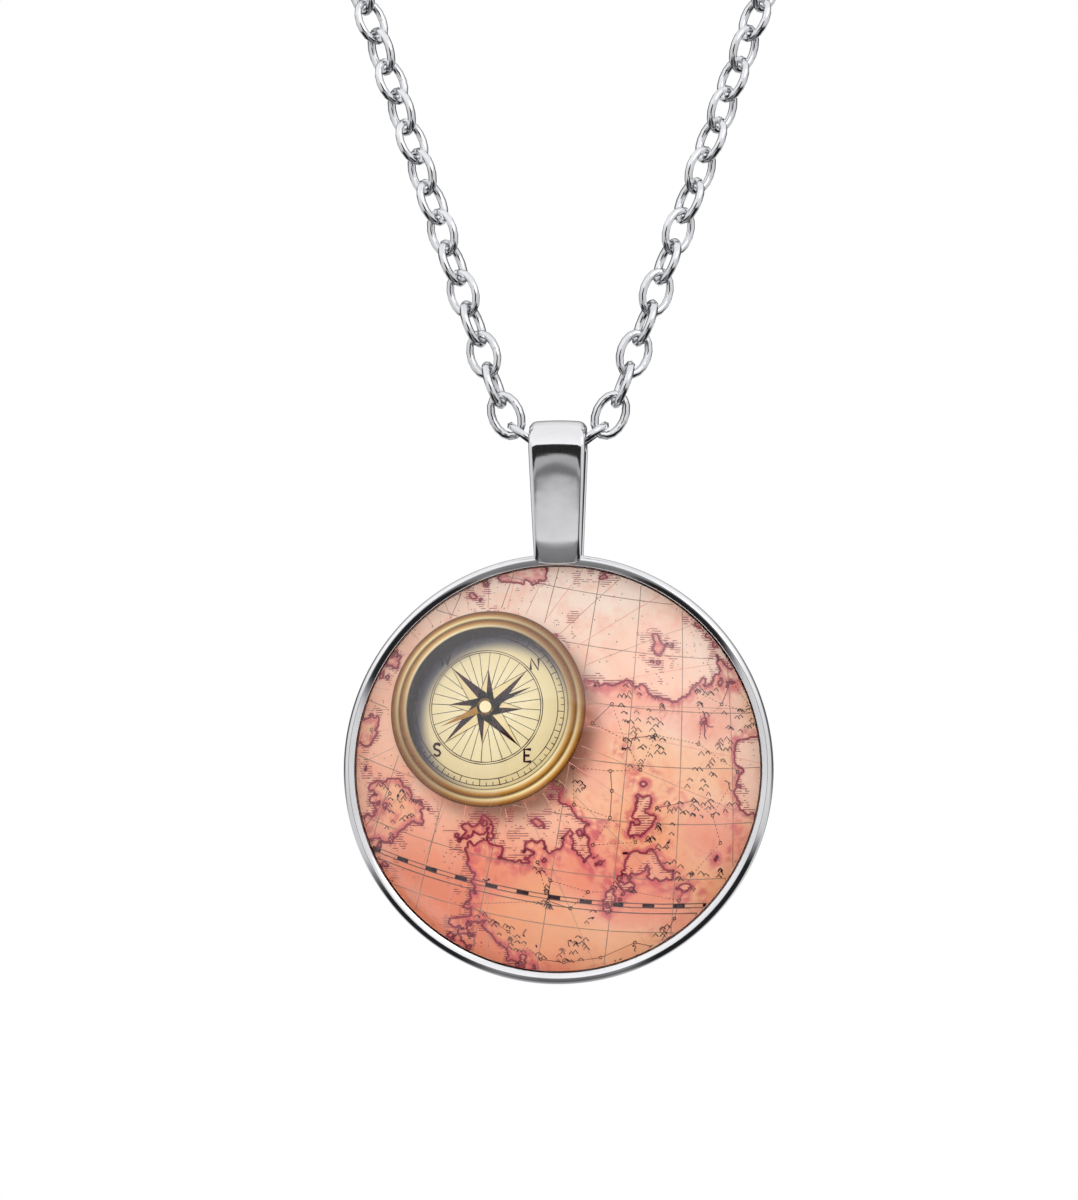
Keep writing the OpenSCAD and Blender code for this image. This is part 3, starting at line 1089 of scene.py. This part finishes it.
def chain_tree(material):
    """Geometry nodes that set one oval link on each point, turned as the point says."""
    tree = bpy.data.node_groups.new("cable_chain", "GeometryNodeTree")
    tree.interface.new_socket("Places", in_out="INPUT", socket_type="NodeSocketGeometry")
    for name, kind in (("Link length", "Float"), ("Link width", "Float"), ("Wire", "Float"),
                       ("Steps round", "Int"), ("Wire sides", "Int"), ("Seed", "Int")):
        tree.interface.new_socket(name, in_out="INPUT", socket_type="NodeSocket" + kind)
    tree.interface.new_socket("Chain", in_out="OUTPUT", socket_type="NodeSocketGeometry")
    given = tree.nodes.new("NodeGroupInput").outputs

    def add(kind, settings=None, **inputs):
        return add_nodes(tree, "GeometryNode" + kind, settings, **inputs).outputs[0]

    half_wire = calculate(tree, "MULTIPLY", given["Wire"], 0.5)
    half_long, half_wide = (
        calculate(tree, "SUBTRACT", calculate(tree, "MULTIPLY", given[name], 0.5), half_wire)
        for name in ("Link length", "Link width")
    )
    stretch = add_nodes(tree, "ShaderNodeCombineXYZ", X=half_long, Y=half_wide, Z=1.0)
    circle = add("CurvePrimitiveCircle", Resolution=given["Steps round"], Radius=1.0)
    oval = add("Transform", Geometry=circle, Scale=stretch.outputs["Vector"])
    wire = add("CurvePrimitiveCircle", Resolution=given["Wire sides"], Radius=half_wire)
    link = add("StoreNamedAttribute", {"data_type": "FLOAT_VECTOR", "domain": "POINT"},
               Geometry=add("CurveToMesh", Curve=oval, Profile_Curve=wire), Name="link_place",
               Value=add("InputPosition"))
    placed = add("InstanceOnPoints", Points=given["Places"], Instance=link,
                 Rotation=add("InputNamedAttribute", {"data_type": "QUATERNION"}, Name="link_turn"))
    shade = add_nodes(tree, "FunctionNodeRandomValue", {"data_type": "FLOAT"}, Seed=given["Seed"])
    shaded = add("StoreNamedAttribute", {"data_type": "FLOAT", "domain": "INSTANCE"}, Geometry=placed,
                 Name="link_shade", Value=next(s for s in shade.outputs if s.type == "VALUE"))
    coated = add("SetMaterial", Geometry=add("RealizeInstances", Geometry=shaded), Material=material)
    tree.links.new(coated, tree.nodes.new("NodeGroupOutput").inputs["Chain"])
    return tree


def made_by_nodes(source, tree, **values):
    """Mesh that a geometry node tree makes of an object. The object is removed afterwards."""
    modifier = source.modifiers.new("nodes", "NODES")
    modifier.node_group = tree
    for item in tree.interface.items_tree:
        key = item.name.lower().replace(" ", "_")
        if item.in_out == "INPUT" and key in values:
            modifier[item.identifier] = values[key]
    return evaluated_mesh(source)


def evaluated_mesh(source):
    """Plain mesh of an object with its modifiers, which are removed with the object."""
    view = bpy.context.evaluated_depsgraph_get()
    mesh = bpy.data.meshes.new_from_object(source.evaluated_get(view), depsgraph=view)
    source.modifiers.clear()
    bpy.data.objects.remove(source)
    return mesh


class PENDANT_OT_chain(bpy.types.Operator):
    """Sets an oval link on the place of each CAD link, for both halves of the chain"""

    bl_idname = "pendant.chain"
    bl_label = "Chain"

    def execute(self, context):
        sizes = context.scene.pendant_sizes
        material = link_material(context.scene.pendant_colours.wire)
        tree = chain_tree(material)
        for seed, (name, node) in enumerate((("links_left", "chain_left"),
                                             ("links_right", "chain_right"))):
            places = link_places(node)
            points = bpy.data.meshes.new(name + "_places")
            points.from_pydata([middle for middle, turn in places], [], [])
            turns = points.attributes.new("link_turn", "QUATERNION", "POINT")
            turns.data.foreach_set("value", [part for middle, turn in places for part in turn])
            source = bpy.data.objects.new(name + "_places", points)
            context.scene.collection.objects.link(source)
            mesh = made_by_nodes(source, tree, link_length=sizes.link_long,
                                 link_width=sizes.link_wide, wire=sizes.link_wire, steps_round=16,
                                 wire_sides=6, seed=seed)
            mesh.name = name
            place_mesh(name, mesh, material, "chain", [node])
        return {"FINISHED"}


def torus(middle, radius, wire, rings=40, sides=16):
    """Vertices and faces of a ring of wire that lies across the Y axis."""
    vertices = []
    for turn in (TAU * ring / rings for ring in range(rings)):
        for bend in (TAU * side / sides for side in range(sides)):
            reach = radius + wire / 2 * math.cos(bend)
            vertices.append(middle + Vector((reach * math.cos(turn), wire / 2 * math.sin(bend),
                                             reach * math.sin(turn))))
    rows = even_rows(rings, sides)
    return vertices, band_faces(rows + rows[:1])


def stem(start, end, rings=9, sides=24):
    """Vertices and faces of a tapering bar along X, from one (x, radius) to another."""
    vertices = []
    for share in (ring / (rings - 1) for ring in range(rings)):
        x = start[0] + (end[0] - start[0]) * share
        radius = start[1] + (end[1] - start[1]) * eased(share)
        for turn in (TAU * side / sides for side in range(sides)):
            vertices.append(Vector((x, radius * math.cos(turn), radius * math.sin(turn))))
    rows = even_rows(rings, sides)
    return vertices, band_faces(rows) + [rows[0], rows[-1]]


class PENDANT_OT_clasp(bpy.types.Operator):
    """Melts the eye, the stem and the closed claw of the clasp into one smooth piece"""

    bl_idname = "pendant.clasp"
    bl_label = "Clasp"

    def execute(self, context):
        sizes = context.scene.pendant_sizes
        claw_outer = CLASP_HIGH.z
        claw = claw_outer - sizes.claw_wire / 2
        claw_middle = Vector((CLASP_HIGH.x - claw_outer, 0, 0))
        gap = 0.2 * MM
        held_wire = 0.5 * MM
        eye = (held_wire + sizes.eye_wire) / 2 + gap
        eye_middle = Vector((CLASP_LOW.x + eye + sizes.eye_wire / 2, 0, 0))
        parts = (
            torus(eye_middle, eye, sizes.eye_wire),
            torus(claw_middle, claw, sizes.claw_wire),
            stem((eye_middle.x + eye, sizes.eye_wire / 2), (claw_middle.x - claw, sizes.stem / 2)),
        )
        vertices, faces = [], []
        for spots, sides in parts:
            faces += [[corner + len(vertices) for corner in side] for side in sides]
            vertices += spots
        mesh = bpy.data.meshes.new("clasp_rough")
        mesh.from_pydata([tuple(v) for v in vertices], [], faces)
        face_outwards(mesh)
        source = bpy.data.objects.new("clasp_rough", mesh)
        context.scene.collection.objects.link(source)
        melt = source.modifiers.new("melt", "REMESH")
        melt.mode = "VOXEL"
        melt.voxel_size = 0.09 * MM
        ease = source.modifiers.new("ease", "SMOOTH")
        ease.factor = 0.5
        ease.iterations = 5
        smooth = evaluated_mesh(source)
        smooth.name = "clasp_closed"
        material = silver_material("clasp_silver", context.scene.pendant_colours.wire, 1.3)
        place_mesh("clasp_closed", smooth, material, "chain", ["clasp"])
        return {"FINISHED"}


VIEW_TURN = math.radians(3.5)
VIEW_RISE = math.radians(-3.5)
VIEW_RANGE = 0.6
PIXELS_PER_MM = 16.15
HANG_PIXEL = (558.2, 451.9)
FLOOR = -0.3
FLOOR_HALF = 2.5
PLAIN_LIGHT = 2.25
MIRRORED_LIGHT = 1.25
# Dark parts of the mirrored studio, towards its lower corners: (side, share of the way to the corner at
# which one starts and at which it is full, depth at which it starts). They end at DARK_END.
DARK_SECTORS = ((1.0, 0.86, 0.95, -0.95), (-1.0, 0.9, 0.98, -0.88))
DARK_END = (0.66, 0.5)


# Tones that the metal mirrors, by their height from -1 to 1. In front a black card stands from -0.04 to 0.4.
FRONT_TONES = (
    (-1.0, 0.13), (-0.62, 0.19), (-0.45, 0.22), (-0.36, 0.36), (-0.29, 0.62), (-0.25, 0.68),
    (-0.205, 0.57), (-0.187, 0.44), (-0.165, 0.15), (-0.135, 0.15), (-0.112, 0.36), (-0.05, 0.4),
    (-0.038, 0.02), (0.4, 0.02), (0.43, 0.95), (0.6, 0.92), (1.0, 0.85),
)
SIDE_TONES = ((-1.0, 0.1), (-0.75, 0.3), (-0.45, 0.5), (-0.1, 0.64), (0.3, 0.72), (0.6, 0.95),
              (1.0, 0.85))
BACK_TONES = ((-1.0, 0.25), (-0.5, 0.45), (-0.12, 0.6), (-0.04, 0.3), (0.04, 0.1), (0.3, 0.1),
              (0.55, 0.45), (0.8, 0.75), (1.0, 0.85))


def smooth_share(tree, value, start, end):
    """0 up to the start, 1 from the end on and smooth between them."""
    made = add_nodes(tree, "ShaderNodeMapRange", {"interpolation_type": "SMOOTHSTEP"}, Value=value,
                     From_Min=start, From_Max=end)
    return made.outputs["Result"]


def height_tones(tree, height, tones):
    """Ramp of greys over a height between -1 and 1."""
    place = calculate(tree, "MULTIPLY_ADD", height, 0.5, 0.5)
    return ramp(tree, place, *(((z + 1) / 2, tone) for z, tone in tones))


def mirrored_studio(tree, x, y, z):
    """What the metal mirrors: side and back tones by height, a card in front, two dark sectors and a lamp."""

    def times(first, second):
        return calculate(tree, "MULTIPLY", first, second)

    def plus_times(first, second, third):
        return calculate(tree, "MULTIPLY_ADD", first, second, third)

    shape = blended(tree, smooth_share(tree, y, 0.15, 0.45), height_tones(tree, z, SIDE_TONES),
                    height_tones(tree, z, BACK_TONES))
    under = times(smooth_share(tree, y, 0.96, 0.99), smooth_share(tree, z, 0.02, -0.02))
    shape = blended(tree, under, shape, (0.8, 0.8, 0.8, 1.0))
    off = calculate(tree, "SQRT", plus_times(y, times(y, -1.0), 1.0))
    for side, start, full, near in DARK_SECTORS:
        toward = times(plus_times(x, side, times(z, -1.0)), math.sqrt(0.5))
        toward = calculate(tree, "DIVIDE", toward, off)
        share = times(smooth_share(tree, toward, start, full),
                      smooth_share(tree, y, near - 0.05, near + 0.05))
        share = times(share, smooth_share(tree, y, *DARK_END))
        shape = blended(tree, share, shape, (0.015, 0.016, 0.017, 1.0))
    turned = calculate(tree, "SUBTRACT", calculate(tree, "DIVIDE", x, y), math.tan(VIEW_TURN))
    bow = times(times(turned, turned), 1.6)
    way = add_nodes(tree, "ShaderNodeMapRange", Value=z, From_Min=-0.34, From_Max=-0.14, To_Min=-1.0,
                    To_Max=1.0).outputs["Result"]
    front = times(smooth_share(tree, calculate(tree, "ABSOLUTE", turned), 0.36, 0.3),
                  smooth_share(tree, y, -0.15, -0.3))
    shape = blended(tree, front, shape, height_tones(tree, plus_times(bow, way, z), FRONT_TONES))
    lamp = plus_times(z, 0.6, plus_times(x, 0.5, times(y, -0.62)))
    return blended(tree, smooth_share(tree, lamp, 0.955, 0.985), shape, (2.2, 2.2, 2.2, 1.0))


def studio_world():
    """White surroundings, with a shaped studio that only the metal and the glass mirror."""
    world = bpy.data.worlds.new("studio")
    world.use_nodes = True
    tree = world.node_tree
    tree.nodes.clear()
    way = add_nodes(tree, "ShaderNodeSeparateXYZ",
                    Vector=tree.nodes.new("ShaderNodeTexCoord").outputs["Generated"])
    white = (1.0, 1.0, 1.0, 1.0)
    seen, plain, gloss = (
        add_nodes(tree, "ShaderNodeBackground", Color=tone, Strength=strength).outputs[0]
        for tone, strength in ((white, 1.0), (white, PLAIN_LIGHT),
                               (mirrored_studio(tree, *way.outputs), MIRRORED_LIGHT))
    )
    ray = tree.nodes.new("ShaderNodeLightPath").outputs
    direct = mixed_shaders(tree, ray["Is Glossy Ray"], seen, gloss)
    scattered = calculate(tree, "MINIMUM", ray["Diffuse Depth"], 1.0)
    output = tree.nodes.new("ShaderNodeOutputWorld")
    tree.links.new(mixed_shaders(tree, scattered, direct, plain), output.inputs["Surface"])
    return world


def mixed_shaders(tree, share, first, second):
    """Mix of two shaders."""
    made = tree.nodes.new("ShaderNodeMixShader")
    for value, socket in zip((share, first, second), made.inputs):
        join(tree, value, socket)
    return made.outputs[0]


def key_light():
    """A square lamp that points at the pendant and isn't mirrored in it."""
    lamp = bpy.data.lights.new("key_light", "AREA")
    lamp.size = 0.5
    lamp.energy = 4.0
    holder = bpy.data.objects.new("key_light", lamp)
    holder.location = (-0.5, -0.6, 0.5)
    holder.rotation_euler = (HANG - holder.location).to_track_quat("-Z", "Y").to_euler()
    holder.visible_glossy = False
    holder.visible_transmission = False
    bpy.context.scene.collection.objects.link(holder)


def photo_camera():
    """Camera at the photograph's angle, with the hang point on its pixel."""
    back = Vector((math.sin(VIEW_TURN) * math.cos(VIEW_RISE),
                   -math.cos(VIEW_TURN) * math.cos(VIEW_RISE), math.sin(VIEW_RISE)))
    turn = (-back).to_track_quat("-Z", "Y")
    scale = MM / PIXELS_PER_MM
    right = (HANG_PIXEL[0] - PICTURE_SIZE[0] / 2) * scale
    up = (PICTURE_SIZE[1] / 2 - HANG_PIXEL[1]) * scale
    aim = HANG - turn @ Vector((right, up, 0))
    camera = bpy.data.cameras.new("camera")
    camera.sensor_width = 36
    camera.lens = camera.sensor_width * VIEW_RANGE / (PICTURE_SIZE[1] * scale)
    holder = bpy.data.objects.new("camera", camera)
    holder.rotation_mode = "QUATERNION"
    holder.rotation_quaternion = turn
    holder.location = aim + VIEW_RANGE * back
    bpy.context.scene.collection.objects.link(holder)
    bpy.context.scene.camera = holder


class PENDANT_OT_stage(bpy.types.Operator):
    """Sets out the pale floor, the soft light and the camera"""

    bl_idname = "pendant.stage"
    bl_label = "Stage"

    def execute(self, context):
        mesh = bpy.data.meshes.new("floor")
        corners = ((-1, -1), (1, -1), (1, 1), (-1, 1))
        mesh.from_pydata([(FLOOR_HALF * x, FLOOR_HALF * y, FLOOR) for x, y in corners], [],
                         [[0, 1, 2, 3]])
        floor = bpy.data.objects.new("floor", mesh)
        material, tree, shader, place = new_material("pale_floor")
        mottle = add_nodes(tree, "ShaderNodeTexNoise", Vector=place, Scale=8.0).outputs["Fac"]
        set_inputs(tree, shader, Base_Color=ramp(tree, mottle, (0.3, 0.43), (0.7, 0.46)),
                   Roughness=0.9)
        mesh.materials.append(material)
        context.scene.collection.objects.link(floor)
        floor.visible_glossy = False
        floor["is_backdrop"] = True
        context.scene.world = studio_world()
        key_light()
        photo_camera()
        context.scene.view_settings.view_transform = "Standard"
        return {"FINISHED"}


class PENDANT_PT_pendant(bpy.types.Panel):
    """Sizes, colours and building steps of the pendant"""

    bl_idname = "PENDANT_PT_pendant"
    bl_label = "Picture pendant"
    bl_space_type = "VIEW_3D"
    bl_region_type = "UI"
    bl_category = "Pendant"

    def draw(self, context):
        for group in (context.scene.pendant_sizes, context.scene.pendant_colours):
            for name in group.__annotations__:
                self.layout.prop(group, name)
        for operator in OPERATORS:
            self.layout.operator(operator.bl_idname)


OPERATORS = (
    PENDANT_OT_stage,
    PENDANT_OT_tray,
    PENDANT_OT_picture,
    PENDANT_OT_glass,
    PENDANT_OT_chain,
    PENDANT_OT_clasp,
)
CLASSES = (PendantSizes, PendantColours, *OPERATORS, PENDANT_PT_pendant)


def register():
    for item in CLASSES:
        bpy.utils.register_class(item)
    bpy.types.Scene.pendant_sizes = bpy.props.PointerProperty(type=PendantSizes)
    bpy.types.Scene.pendant_colours = bpy.props.PointerProperty(type=PendantColours)


def unregister():
    del bpy.types.Scene.pendant_colours
    del bpy.types.Scene.pendant_sizes
    for item in reversed(CLASSES):
        bpy.utils.unregister_class(item)


def main():
    """Registers the add-on, builds each piece and works out the boxes of the CAD frame and of the finished
    look.
    """
    register()
    bpy.ops.pendant.stage()
    bpy.ops.pendant.tray()
    bpy.ops.pendant.picture()
    bpy.ops.pendant.glass()
    bpy.ops.pendant.chain()
    bpy.ops.pendant.clasp()
    bpy.context.view_layer.update()
    boxes = {"cad": CAD_BOX, "visual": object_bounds()}
    {name: [list(corner) for corner in box] for name, box in boxes.items()}


if __name__ == "__main__":
    main()
